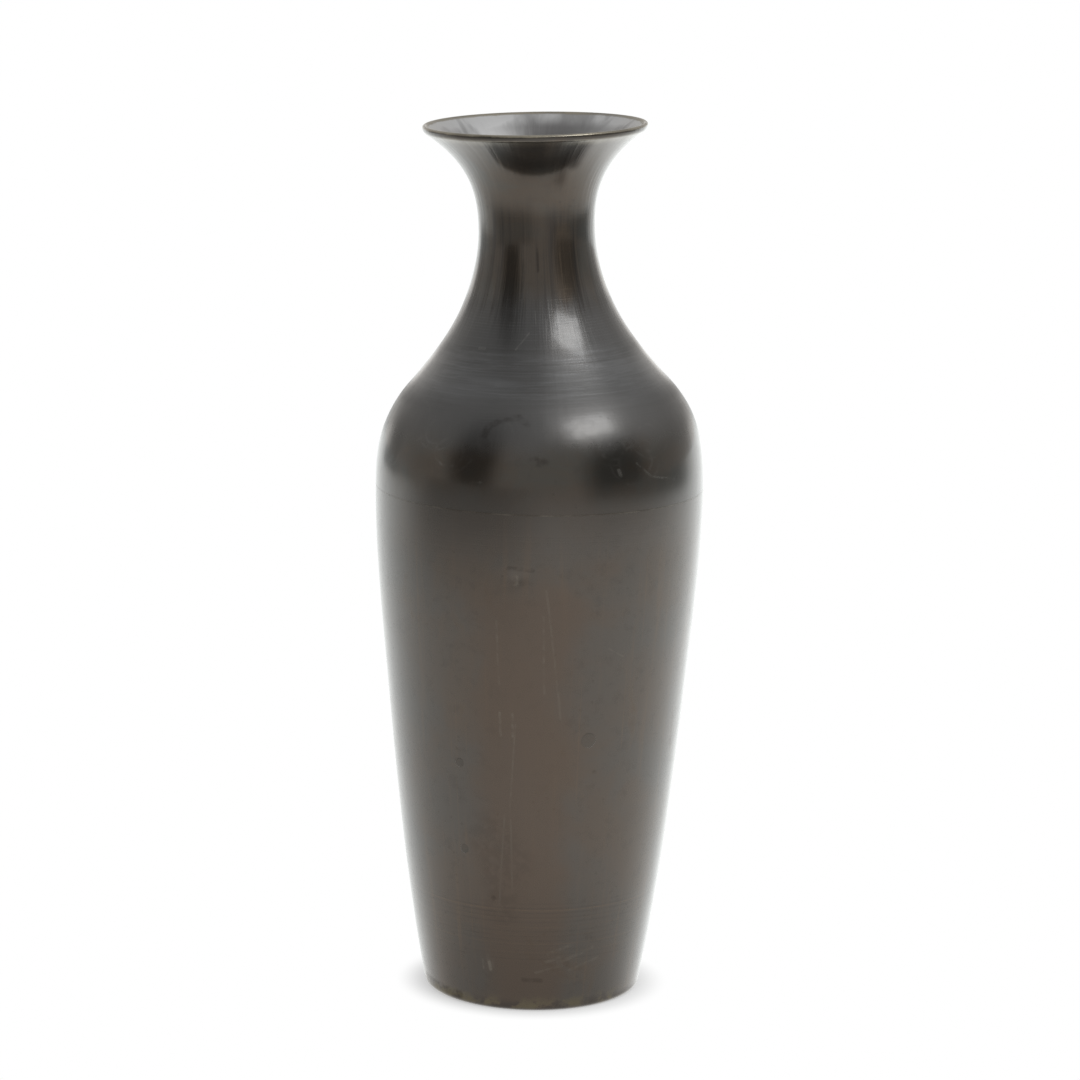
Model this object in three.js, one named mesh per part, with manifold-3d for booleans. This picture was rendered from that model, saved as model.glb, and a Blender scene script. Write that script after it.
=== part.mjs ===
// Bronze bottle vase: two hollow castings brazed together at the widest ring, a base plate
// let into the foot from below, and small round plugs where the casting core was pinned.
// Millimetres, +Z up, origin at the centre of the standing face, -Y towards the viewer.

import * as THREE from 'three';
import { mergeVertices } from 'three/addons/utils/BufferGeometryUtils.js';
import Module from 'manifold-3d';

const wasm = await Module();
wasm.setup();

// Outline of the outside, as stations from the foot to the lip. Each has its rise above the
// station below, its radius, and its slope: the radius gained per millimetre of height.
const footEdge = 2.2;          // rounded bottom edge, also the height of the first station
const footRadius = 37.5;
const footSlope = 0.19;
const bellyRise = 117.7;
const bellyInset = 3.7;        // the belly is this much inside the widest ring
const bellySlope = 0.098;
const seamRise = 56.6;         // up to the widest ring, where the castings meet upright
const seamRadius = 56.1;
const shoulderRise = 35.5;
const shoulderRadius = 44.5;
const shoulderSlope = -0.9;
const throatRise = 28.5;
const throatRadius = 25;
const throatSlope = -0.4;
const neckRise = 24.2;         // up to the narrowest ring
const neckRadius = 19.8;
const lipRise = 34.5;          // up to the widest ring of the lip
const lipRadius = 38.1;
const lipSlope = 1.42;         // of the flare where it meets the lip
const lipRound = 2.2;          // radius of the lip's outside below its widest ring
const lipEdge = 0.8;           // radius of the lip's edge above it

// The upper casting sits a little crooked: its axis turns towards -X above the seam
const neckTilt = -1.84;        // degrees
const bendRise = 27;           // height over which the turn is made

// Castings
const wall = 3;                // thins towards the lip
const clearance = 0.3;         // between pieces that slide together

// Joint between the castings: a spigot on the upper one in a socket in the lower one
const seamLip = 1.4;           // thickness of the edges that meet outside
const spigotDepth = 6;
const brazeHeight = 0.5;

// Foot and base plate
const footBore = 32.4;         // radius of the opening inside the foot ring
const plateRecess = 4.5;       // standing face to the underside of the plate
const plateThickness = 2.5;
const ledgeWidth = 2;          // step that the plate seats against
const ledgeHeight = 1.5;
const footBlend = 8;           // height over which the inside widens above the ledge
const solderLeg = 2;

// Core pin plugs: where each sits on the lower casting, azimuth 0 in front and + to the right
const leftHighPlug = { height: 88.7, azimuth: -31, diameter: 3.2 };
const leftLowPlug = { height: 58, azimuth: -30.6, diameter: 3.2 };
const rightPlug = { height: 98.3, azimuth: 20.8, diameter: 5.2 };

// Facets
const aroundSteps = 64;
const plugSides = 24;
const edgeSteps = 3;           // to each rounded edge

const radians = THREE.MathUtils.degToRad;

// Stations of the outline, lowest first
const foot = { z: footEdge, r: footRadius, slope: footSlope };
const belly = { z: foot.z + bellyRise, r: seamRadius - bellyInset, slope: bellySlope };
const seam = { z: belly.z + seamRise, r: seamRadius, slope: 0 };
const shoulder = { z: seam.z + shoulderRise, r: shoulderRadius, slope: shoulderSlope };
const throat = { z: shoulder.z + throatRise, r: throatRadius, slope: throatSlope };
const neck = { z: throat.z + neckRise, r: neckRadius, slope: 0 };
const lipHeight = neck.z + lipRise;
const lipLean = Math.atan(lipSlope);
const flareEnd = {
  z: lipHeight - lipRound * Math.sin(lipLean),
  r: lipRadius - lipRound * (1 - Math.cos(lipLean)),
  slope: lipSlope,
};
// Makes the inside run straight into the lip's edge
const lipWall = lipEdge + lipRound - (lipRound - lipEdge) * Math.cos(lipLean);

// A cubic from one station to the next, along their slopes. Its height grows evenly.
function span(low, high, outerSteps, innerSteps) {
  const third = (high.z - low.z) / 3;
  const curve = new THREE.CubicBezierCurve(
    new THREE.Vector2(low.r, low.z),
    new THREE.Vector2(low.r + low.slope * third, low.z + third),
    new THREE.Vector2(high.r - high.slope * third, high.z - third),
    new THREE.Vector2(high.r, high.z),
  );
  return { low: low.z, high: high.z, curve, outerSteps, innerSteps };
}

const lowerSpans = [span(foot, belly, 6, 4), span(belly, seam, 5, 4)];
const upperSpans = [
  span(seam, shoulder, 8, 5),
  span(shoulder, throat, 5, 4),
  span(throat, neck, 4, 3),
  span(neck, flareEnd, 9, 6),
];

function wallAt(z) {
  const share = THREE.MathUtils.clamp((z - seam.z) / (flareEnd.z - seam.z), 0, 1);
  return THREE.MathUtils.lerp(wall, lipWall, share);
}

// A point of the outline at height z, moved into the metal by depth along the normal
function skinPoint(part, z, depth) {
  const t = (z - part.low) / (part.high - part.low);
  const point = part.curve.getPoint(t);
  const tangent = part.curve.getTangent(t);
  return new THREE.Vector2(point.x - tangent.y * depth, point.y + tangent.x * depth);
}

// Points up the outside, or up the inside at the wall's depth, between two heights
function skin(spans, from, to, inside) {
  const points = [];
  for (const part of spans) {
    const low = Math.max(part.low, from);
    const high = Math.min(part.high, to);
    if (high <= low) continue;
    const steps = inside ? part.innerSteps : part.outerSteps;
    for (let i = points.length > 0 ? 1 : 0; i <= steps; i += 1) {
      const z = THREE.MathUtils.lerp(low, high, i / steps);
      points.push(skinPoint(part, z, inside ? wallAt(z) : 0));
    }
  }
  return points;
}

// Points along a round edge the short way from one angle to the other, without the first
function arc(centre, radius, from, to, steps) {
  const curve = new THREE.EllipseCurve(centre.x, centre.y, radius, radius, from, to, to < from);
  return curve.getPoints(steps).slice(1);
}

function at(r, z) {
  return new THREE.Vector2(r, z);
}

// Turns a closed outline, or one that starts and ends on the axis, round +Z
function turned(points, closed = true) {
  const outline = closed ? [...points, points[0]] : points;
  const geometry = new THREE.LatheGeometry(outline, aroundSteps);
  geometry.rotateX(Math.PI / 2);
  geometry.deleteAttribute('normal');
  geometry.deleteAttribute('uv');
  return mergeVertices(geometry);
}

// Leans everything above the braze along the crooked axis
function bend(geometry) {
  const tilt = radians(neckTilt);
  const position = geometry.getAttribute('position');
  for (let i = 0; i < position.count; i += 1) {
    const x = position.getX(i);
    const z = position.getZ(i);
    const above = Math.max(z - brazeHigh, 0);
    const s = Math.min(above / bendRise, 1);
    const turn = tilt * s * s * (3 - 2 * s);
    const run = bendRise * (s ** 3 - s ** 4 / 2) + Math.max(above - bendRise, 0);
    position.setX(i, run * Math.sin(tilt) + x * Math.cos(turn));
    position.setZ(i, z - run * (1 - Math.cos(tilt)) - x * Math.sin(turn));
  }
  return geometry;
}

function toManifold(geometry) {
  return new wasm.Manifold(new wasm.Mesh({
    numProp: 3,
    vertProperties: new Float32Array(geometry.getAttribute('position').array),
    triVerts: new Uint32Array(geometry.getIndex().array),
  }));
}

function fromManifold(solid) {
  const mesh = solid.getMesh();
  const geometry = new THREE.BufferGeometry();
  geometry.setAttribute('position', new THREE.BufferAttribute(mesh.vertProperties, 3));
  geometry.setIndex(new THREE.BufferAttribute(mesh.triVerts, 1));
  return geometry;
}

// A round bar through the lower wall, centred on the metal and square to its surface
function wallBar(plug, diameter, length) {
  const part = lowerSpans.find((one) => plug.height <= one.high);
  const middle = skinPoint(part, plug.height, wall / 2);
  const surface = skinPoint(part, plug.height, 0);
  const outward = surface.clone().sub(middle).normalize();
  const geometry = new THREE.CylinderGeometry(diameter / 2, diameter / 2, length, plugSides);
  geometry.deleteAttribute('normal');
  geometry.deleteAttribute('uv');
  geometry.rotateX(Math.atan2(outward.y, -outward.x));
  geometry.translate(0, -middle.x, middle.y);
  geometry.rotateZ(radians(plug.azimuth));
  return mergeVertices(geometry);
}

const plugs = [
  ['core_plug_left_high', leftHighPlug],
  ['core_plug_left_low', leftLowPlug],
  ['core_plug_right', rightPlug],
];

const socketRadius = seam.r - seamLip;
const brazeLow = seam.z - brazeHeight / 2;
const brazeHigh = seam.z + brazeHeight / 2;
const plateTop = plateRecess + plateThickness;

// Lower casting: foot ring, ledge for the plate, belly wall, socket at the top
function lowerBody() {
  const socketFloor = seam.z - spigotDepth - clearance;
  const insideStart = plateTop + ledgeHeight + footBlend;
  const ledgeRadius = footBore - ledgeWidth;
  const outline = [
    at(footBore, 0),
    at(footRadius - footEdge, 0),
    ...arc(at(footRadius - footEdge, footEdge), footEdge, -Math.PI / 2, 0, edgeSteps),
    ...skin(lowerSpans, footEdge, brazeLow, false).slice(1),
    at(socketRadius, brazeLow),
    at(socketRadius, socketFloor),
    ...skin(lowerSpans, insideStart, socketFloor, true).reverse(),
    at(ledgeRadius, plateTop + ledgeHeight),
    at(ledgeRadius, plateTop),
    at(footBore, plateTop),
  ];
  const holeLength = 3 * wall;
  let solid = toManifold(turned(outline));
  for (const [, plug] of plugs) {
    const hole = wallBar(plug, plug.diameter + 2 * clearance, holeLength);
    solid = solid.subtract(toManifold(hole));
  }
  return fromManifold(solid);
}

// Upper casting: spigot, shoulder, neck and flared mouth with its rounded lip
function upperBody() {
  const spigotRadius = socketRadius - clearance;
  const outline = [
    at(spigotRadius, brazeHigh),
    ...skin(upperSpans, brazeHigh, flareEnd.z, false),
    ...arc(at(lipRadius - lipRound, lipHeight), lipRound, -lipLean, 0, edgeSteps),
    ...arc(at(lipRadius - lipEdge, lipHeight), lipEdge, 0, Math.PI - lipLean, edgeSteps),
    ...skin(upperSpans, seam.z, flareEnd.z, true).reverse(),
    at(seam.r - wall, seam.z - spigotDepth),
    at(spigotRadius, seam.z - spigotDepth),
  ];
  return bend(turned(outline));
}

// Ring of braze between the two outside edges, filed flush
function seamBraze() {
  return turned([
    at(socketRadius, brazeLow),
    at(seam.r, brazeLow),
    at(seam.r, brazeHigh),
    at(socketRadius, brazeHigh),
  ]);
}

// Round plate let into the foot from below, up against the ledge
function basePlate() {
  const plateRadius = footBore - clearance;
  return turned([
    at(0, plateRecess),
    at(plateRadius, plateRecess),
    at(plateRadius, plateTop),
    at(0, plateTop),
  ], false);
}

// Fillet of solder in the corner under the plate
function baseSolder() {
  const hollow = at(footBore - solderLeg, plateRecess - solderLeg);
  return turned([
    at(footBore, plateRecess),
    at(footBore - solderLeg, plateRecess),
    ...arc(hollow, solderLeg, Math.PI / 2, 0, edgeSteps),
  ]);
}

function bronze(colour, roughness) {
  return new THREE.MeshStandardMaterial({ color: colour, metalness: 1, roughness });
}

const vase = new THREE.Group();

function addPiece(name, geometry, material) {
  const mesh = new THREE.Mesh(geometry, material);
  mesh.name = name;
  vase.add(mesh);
}

addPiece('lower_body', lowerBody(), bronze(0x5e544a, 0.32));
addPiece('upper_body', upperBody(), bronze(0x5a534c, 0.28));
addPiece('seam_braze', seamBraze(), bronze(0x7a7062, 0.35));
addPiece('base_plate', basePlate(), bronze(0x6a5c46, 0.5));
addPiece('base_solder', baseSolder(), bronze(0x77736b, 0.45));
for (const [name, plug] of plugs) {
  addPiece(name, wallBar(plug, plug.diameter, wall), bronze(0x4c443b, 0.38));
}

export default vase;
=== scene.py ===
import math

import bpy
import numpy as np
from mathutils import Matrix, Vector


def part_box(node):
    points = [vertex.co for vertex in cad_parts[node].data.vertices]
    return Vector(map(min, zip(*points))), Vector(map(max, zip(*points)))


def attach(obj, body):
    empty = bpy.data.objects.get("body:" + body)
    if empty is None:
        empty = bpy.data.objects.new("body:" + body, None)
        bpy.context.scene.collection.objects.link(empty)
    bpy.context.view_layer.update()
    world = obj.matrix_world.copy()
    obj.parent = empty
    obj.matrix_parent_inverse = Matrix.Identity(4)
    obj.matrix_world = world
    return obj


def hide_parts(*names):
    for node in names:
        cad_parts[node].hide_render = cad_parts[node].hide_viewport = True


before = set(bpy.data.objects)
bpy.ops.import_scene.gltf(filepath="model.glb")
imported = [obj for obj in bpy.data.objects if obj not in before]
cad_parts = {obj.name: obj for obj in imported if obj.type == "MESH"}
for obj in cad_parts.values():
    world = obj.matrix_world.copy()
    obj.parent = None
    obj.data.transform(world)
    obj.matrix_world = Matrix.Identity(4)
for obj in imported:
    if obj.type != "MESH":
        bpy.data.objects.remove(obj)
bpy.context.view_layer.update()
print("frame loaded:", len(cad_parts), "CAD nodes")


# Node helpers

def chained(operation):
    # a sum, a product or the like of two or more values
    def run(self, *values, clamp=False):
        total = values[0]
        for value in values[1:-1]:
            total = self.calc(operation, total, value)
        return self.calc(operation, total, values[-1], clamp=clamp)
    return run


class nodeSheet:
    # one node tree, with a short call for each kind of node that the vase needs
    columns, columnStep, rowStep = 14, 190, 210

    def __init__(self, tree):
        self.tree = tree

    def wire(self, value, socket):
        if isinstance(value, bpy.types.NodeSocket):
            self.tree.links.new(value, socket)
        else:
            socket.default_value = value

    def place(self, kind, **settings):
        node = self.tree.nodes.new(kind)
        row, column = divmod(len(self.tree.nodes), self.columns)
        node.location = (self.columnStep * column, -self.rowStep * row)
        for key, value in settings.items():
            setattr(node, key, value)
        return node

    def fill(self, node, values):
        for key, value in values.items():
            self.wire(value, node.inputs[key])
        return node.outputs

    def calc(self, operation, *values, clamp=False):
        node = self.place("ShaderNodeMath", operation=operation, use_clamp=clamp)
        return self.fill(node, dict(enumerate(values)))[0]

    plus, minus, times, over, most = map(chained, ("ADD", "SUBTRACT", "MULTIPLY", "DIVIDE", "MAXIMUM"))

    def combine(self, *parts):
        return self.fill(self.place("ShaderNodeCombineXYZ"), dict(enumerate(parts)))[0]

    def separate(self, vector):
        return list(self.fill(self.place("ShaderNodeSeparateXYZ"), {0: vector}))

    def length(self, x, y):
        return self.calc("SQRT", self.plus(self.times(x, x), self.times(y, y)))

    def spread(self, value, low, high, toLow=0.0, toHigh=1.0, smooth=True):
        # one range of a value onto another, held at both ends
        node = self.place("ShaderNodeMapRange", interpolation_type="SMOOTHSTEP" if smooth else "LINEAR")
        return self.fill(node, {
            "Value": value, "From Min": low, "From Max": high, "To Min": toLow, "To Max": toHigh})[0]

    def between(self, value, lowStart, lowEnd, highStart, highEnd):
        # rises from 0 to 1 over the first range and falls back over the second
        return self.times(self.spread(value, lowStart, lowEnd), self.spread(value, highStart, highEnd, 1.0, 0.0))

    def swing(self, pattern, size):
        # a noise as a step to either side of nothing
        return self.times(self.minus(pattern, 0.5), size)

    def addShares(self, value, *shares):
        for mask, share in shares:
            value = self.plus(value, self.times(mask, share))
        return value

    def noise(self, vector, scale, detail=4.0, roughness=0.55, distortion=0.0):
        return self.fill(self.place("ShaderNodeTexNoise"), {
            "Vector": vector, "Scale": scale, "Detail": detail, "Roughness": roughness, "Distortion": distortion})[0]

    def streaks(self, turned, amounts, detail=3, roughness=0.6, distortion=0.0):
        # noise drawn out round the vase or up it
        node = self.place("ShaderNodeVectorMath", operation="MULTIPLY")
        return self.noise(self.fill(node, {0: turned, 1: amounts})[0], 1, detail, roughness, distortion)

    def blend(self, factor, first, second):
        return self.fill(self.place("ShaderNodeMix", data_type="RGBA"), {0: factor, 6: first, 7: second})[2]

    def layers(self, colour, *coats):
        # each coat has a mask, a share and a colour
        for mask, share, tint in coats:
            colour = self.blend(mask if share == 1 else self.times(mask, share), colour, tint)
        return colour

    def group(self, group, values):
        node = self.place("ShaderNodeGroup", node_tree=group)
        return self.fill(node, {k: v for k, v in values.items() if k in node.inputs})

    def attribute(self, name, output):
        return self.place("ShaderNodeAttribute", attribute_name=name).outputs[output]

    def objectPlace(self):
        return self.place("ShaderNodeTexCoord").outputs["Object"]

    def dress(self, shader, depth, bump, values):
        node = self.place("ShaderNodeBump")
        normal = self.fill(node, {"Height": bump, "Distance": depth})[0]
        self.fill(shader, {**values, "Normal": normal})


def newTree(name, kind, inputs, outputs):
    # an input is given by its default value, or by its kind where it has none
    tree = bpy.data.node_groups.new(name, kind)
    kinds = {int: "Int", float: "Float", tuple: "Color"}
    for label, value in inputs.items():
        bare = isinstance(value, str)
        socketKind = "NodeSocket" + (value if bare else kinds[type(value)])
        socket = tree.interface.new_socket(name=label, in_out="INPUT", socket_type=socketKind)
        if not bare:
            socket.default_value = value
    for label, value in outputs.items():
        tree.interface.new_socket(name=label, in_out="OUTPUT", socket_type="NodeSocket" + value)
    source = tree.nodes.new("NodeGroupInput")
    target = tree.nodes.new("NodeGroupOutput")
    return nodeSheet(tree), source.outputs, target.inputs


def grooveRow(n, height, low, pitch, width, seed):
    # a row of grooves up the vase: their shape, a random value for each, and its number
    steps = n.over(n.minus(height, low), pitch)
    groove = n.calc("ABSOLUTE", n.minus(n.calc("FRACT", steps), 0.5))
    dip = n.spread(groove, 0.0, n.over(width, n.times(pitch, 2)), 1.0, 0.0)
    number = n.calc("FLOOR", steps)
    lot = n.fill(n.place("ShaderNodeTexWhiteNoise", noise_dimensions="2D"), {"Vector": n.combine(number, seed, 0.0)})
    return dip, lot["Value"], number


# Camera, at the angle of the photo

cameraPlace = {
    "right": 0.00047,
    "back": 1.43745,
    "height": 0.4530,
    "lookDown": 11.640,   # degrees
    "roll": 0.966,
    "lens": 142.65,
    "sensor": 36,
    "near": 0.05,
    "far": 30,
}


def addObject(name, data):
    thing = bpy.data.objects.new(name, data)
    bpy.context.scene.collection.objects.link(thing)
    return thing


def addCamera():
    data = bpy.data.cameras.new("photoCamera")
    camera = addObject("photoCamera", data)
    data.sensor_width = cameraPlace["sensor"]
    data.lens = cameraPlace["lens"]
    data.clip_start, data.clip_end = cameraPlace["near"], cameraPlace["far"]
    tilt = Matrix.Rotation(math.radians(90 - cameraPlace["lookDown"]), 4, "X")
    roll = Matrix.Rotation(math.radians(cameraPlace["roll"]), 4, "Z")
    spot = Matrix.Translation((cameraPlace["right"], -cameraPlace["back"], cameraPlace["height"]))
    camera.matrix_world = spot @ tilt @ roll
    bpy.context.scene.camera = camera


addCamera()
print("camera placed")


# Outline of the vase: height, radius and slope at each station, as in the CAD source, in metres

stations = {
    "foot": (0.0022, 0.0375, 0.19),
    "belly": (0.1199, 0.0524, 0.098),
    "seam": (0.1765, 0.0561, 0.0),
    "shoulder": (0.2120, 0.0445, -0.9),
    "throat": (0.2405, 0.0250, -0.4),
    "neck": (0.2647, 0.0198, 0.0),
}
lip = {"height": 0.2992, "radius": 0.0381, "slope": 1.42, "round": 0.0022, "edge": 0.0008}
castings = {
    "wall": 0.003,
    "brazeLow": 0.17625,
    "brazeHigh": 0.17675,
    "socketRadius": 0.0547,
    "socketFloor": 0.1702,
    "spigotRadius": 0.0544,
    "spigotEnd": 0.1705,
    "insideStart": 0.0165,
    "plateGap": 0.0003,
    "ledgeWidth": 0.002,
    "ledgeHeight": 0.0015,
    "standingFlat": 0.0009,    # of the standing face, beside the foot's rounded edge
    "softEdge": 0.0004,        # chamfer on hidden edges
    "spigotEdge": 0.0003,
    "edgeBreak": 0.000015,     # tiny chamfer on the edges either side of the braze
}
crook = {"start": castings["brazeHigh"], "rise": 0.027, "tilt": math.radians(-1.84)}
skinWobble = {"Wobble": 0.00022, "Wobble Scale": 24.0, "Seed": 3.0}   # the same over castings and braze
around = 288
cornerSteps = 10

lipLean = math.atan(lip["slope"])
flareEnd = (
    lip["height"] - lip["round"] * math.sin(lipLean),
    lip["radius"] - lip["round"] * (1 - math.cos(lipLean)),
    lip["slope"],
)
lipWall = lip["edge"] + lip["round"] - (lip["round"] - lip["edge"]) * math.cos(lipLean)
course = [*stations.values(), flareEnd]


def outlineAt(z):
    # radius and slope of the outside at a height
    low, high = next((a, b) for a, b in zip(course, course[1:]) if z <= b[0] or b is course[-1])
    rise = high[0] - low[0]
    t = (z - low[0]) / rise
    radius = ((2 * t ** 3 - 3 * t ** 2 + 1) * low[1] + (t ** 3 - 2 * t ** 2 + t) * rise * low[2]
              + (3 * t ** 2 - 2 * t ** 3) * high[1] + (t ** 3 - t ** 2) * rise * high[2])
    slope = (6 * (t ** 2 - t) * (low[1] - high[1]) / rise + (3 * t ** 2 - 4 * t + 1) * low[2]
             + (3 * t ** 2 - 2 * t) * high[2])
    return radius, slope


def insideAt(z):
    # radius and height of the inside's point behind the outside's point at a height
    radius, slope = outlineAt(z)
    share = min(max((z - stations["seam"][0]) / (flareEnd[0] - stations["seam"][0]), 0), 1)
    depth = castings["wall"] + (lipWall - castings["wall"]) * share
    length = math.hypot(slope, 1)
    return radius - depth / length, z + slope * depth / length


def heights(low, high, step, band=None):
    # heights between two ends, about one step apart along the metal, closer in the band
    found = [low]
    while found[-1] < high:
        z = found[-1]
        inBand = band and band[0] <= z < band[1]
        found.append(min(z + (band[2] if inBand else step / math.hypot(outlineAt(z)[1], 1)), high))
    return found


def onSkin(levels):
    return [(outlineAt(z)[0], z, 1) for z in levels]


def onInside(levels):
    return [(*insideAt(z), 0) for z in reversed(levels)]


def corner(centre, radius, fromAngle, toAngle, steps=cornerSteps):
    angles = [math.radians(fromAngle + (toAngle - fromAngle) * i / steps) for i in range(steps + 1)]
    return [(centre[0] + radius * math.cos(a), centre[1] + radius * math.sin(a), 1) for a in angles]


# Geometry Nodes tree that turns a profile round the vase's axis, cuts turning lines, and leans the upper part

def makeTurnTree():
    n, given, made = newTree("turnProfile", "GeometryNodeTree", {
        "Profile": "Geometry", "Around": around,
        "Line Depth": 0.0, "Line Pitch": 0.002, "Line Width": 0.0006, "Line Low": 0.0, "Line High": 0.0,
        "Wobble": 0.0, "Wobble Scale": 1.0,
        "Lean": 0.0, "Lean Start": 1.0, "Lean Rise": 0.027,
        "Seed": 3.0, "Material": "Material",
    }, {"Turned": "Geometry"})
    profile = given["Profile"]

    count = n.fill(n.place("GeometryNodeAttributeDomainSize", component="MESH"), {0: profile})["Point Count"]
    grid = n.fill(n.place("GeometryNodeMeshGrid"), {
        "Size X": 1, "Size Y": 1, "Vertices X": n.plus(given["Around"], 1), "Vertices Y": count})
    across, up, _ = n.separate(n.place("GeometryNodeInputPosition").outputs[0])
    row = n.calc("ROUND", n.times(n.plus(up, 0.5), n.minus(count, 1)))
    angle = n.times(across, 2 * math.pi)

    def fromProfile(kind, value):
        node = n.place("GeometryNodeSampleIndex", data_type=kind, domain="POINT")
        return n.fill(node, {"Geometry": profile, "Value": value, "Index": row})["Value"]

    radius, _, height = n.separate(fromProfile("FLOAT_VECTOR", n.place("GeometryNodeInputPosition").outputs[0]))
    label = n.place("GeometryNodeInputNamedAttribute", data_type="FLOAT")
    skin = fromProfile("FLOAT", n.fill(label, {"Name": "skin"})["Attribute"])
    sine, cosine = n.calc("SINE", angle), n.calc("COSINE", angle)

    # turning lines: shallow grooves, each of its own depth
    dip, lot, _ = grooveRow(n, height, given["Line Low"], given["Line Pitch"], given["Line Width"], given["Seed"])
    own = n.plus(n.times(lot, 0.8), 0.35)
    above = n.calc("GREATER_THAN", height, given["Line Low"])
    below = n.calc("LESS_THAN", height, given["Line High"])
    cut = n.times(n.times(dip, own), n.times(n.times(above, below, skin), given["Line Depth"]))

    # the hand finish leaves the surface a little uneven
    where = n.combine(n.times(sine, radius), n.times(cosine, radius), height)
    lumps = n.fill(n.place("ShaderNodeTexNoise", noise_dimensions="4D"), {
        "Vector": where, "W": given["Seed"], "Scale": given["Wobble Scale"], "Detail": 2.0})
    uneven = n.times(lumps[0], skin, given["Wobble"])
    full = n.minus(radius, cut, n.times(uneven, n.calc("GREATER_THAN", radius, 0.001)))

    # the lean of the neck
    x = n.times(full, sine)
    rise, lean = given["Lean Rise"], given["Lean"]
    over = n.most(n.minus(height, given["Lean Start"]), 0.0)
    s = n.calc("MINIMUM", n.over(over, rise), 1.0)
    s2 = n.times(s, s)
    s3 = n.times(s2, s)
    turn = n.times(lean, n.minus(n.times(s2, 3.0), n.times(s3, 2.0)))
    run = n.plus(n.times(rise, n.minus(s3, n.times(s3, s, 0.5))), n.most(n.minus(over, rise), 0.0))
    sunk = n.times(run, n.minus(1.0, n.calc("COSINE", lean)))
    place = n.combine(
        n.plus(n.times(run, n.calc("SINE", lean)), n.times(x, n.calc("COSINE", turn))),
        n.times(full, cosine, -1.0),
        n.minus(height, sunk, n.times(x, n.calc("SINE", turn))))

    geometry = grid["Mesh"]
    for name, kind, value in (("turned", "FLOAT_VECTOR", n.combine(sine, cosine, height)), ("skin", "FLOAT", skin)):
        node = n.place("GeometryNodeStoreNamedAttribute", data_type=kind, domain="POINT")
        geometry = n.fill(node, {"Geometry": geometry, "Name": name, "Value": value})[0]
    for kind, values in (
            ("SetPosition", {"Position": place}), ("MergeByDistance", {"Distance": 0.000004}), ("SetShadeSmooth", {}),
            ("RealizeInstances", {}), ("SetMaterial", {"Material": given["Material"]})):
        geometry = n.fill(n.place("GeometryNode" + kind), {"Geometry": geometry, **values})[0]
    n.wire(geometry, made["Turned"])
    return n.tree


turnTree = makeTurnTree()
turnInputs = {item.name: item.identifier for item in turnTree.interface.items_tree
              if item.item_type == "SOCKET" and item.in_out == "INPUT"}


def plainMesh(thing):
    # the evaluated result of a piece's modifiers becomes its own mesh
    depsgraph = bpy.context.evaluated_depsgraph_get()
    ready = thing.evaluated_get(depsgraph)
    mesh = bpy.data.meshes.new_from_object(ready, preserve_all_data_layers=True, depsgraph=depsgraph)
    mesh.name = thing.name
    thing.modifiers.clear()
    thing.data = mesh
    return mesh


def coordinates(mesh):
    flat = np.zeros(len(mesh.vertices) * 3)
    mesh.vertices.foreach_get("co", flat)
    return flat.reshape(-1, 3)


def drawIn(mesh, keep):
    # every vertex moves to its own share of its distance from the axis
    co = coordinates(mesh)
    co[:, :2] *= keep[:, None]
    mesh.vertices.foreach_set("co", co.ravel())
    mesh.update()


def axisDistance(co):
    return np.maximum(np.hypot(co[:, 0], co[:, 1]), 1e-6)


def faceOutwards(mesh):
    mesh.calc_loop_triangles()
    corners = np.zeros(len(mesh.loop_triangles) * 3, int)
    mesh.loop_triangles.foreach_get("vertices", corners)
    a, b, c = coordinates(mesh)[corners.reshape(-1, 3)].transpose(1, 0, 2)
    if np.einsum("ij,ij->i", a, np.cross(b, c)).sum() < 0:
        mesh.flip_normals()


def shadeSmooth(mesh):
    for face in mesh.polygons:
        face.use_smooth = True


def turnPiece(name, profile, material, shape):
    # profile holds radius, height and 1 where the point is on the outside skin
    mesh = bpy.data.meshes.new(name)
    mesh.from_pydata([(p[0], 0, p[1]) for p in profile], [(i, i + 1) for i in range(len(profile) - 1)], [])
    skin = mesh.attributes.new("skin", "FLOAT", "POINT")
    skin.data.foreach_set("value", [float(p[2]) for p in profile])
    thing = addObject(name, mesh)
    modifier = thing.modifiers.new("turn", "NODES")
    modifier.node_group = turnTree
    modifier[turnInputs["Material"]] = material
    for label, value in shape.items():
        if label in turnInputs:
            modifier[turnInputs[label]] = value
    faceOutwards(plainMesh(thing))
    return thing


def finishPiece(thing, node, sharp=35):
    thing.data.set_sharp_from_angle(angle=math.radians(sharp))
    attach(thing, "root")
    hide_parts(node)
    print("piece done:", thing.name, len(thing.data.polygons), "faces")


# Node groups that more than one finish uses

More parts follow.
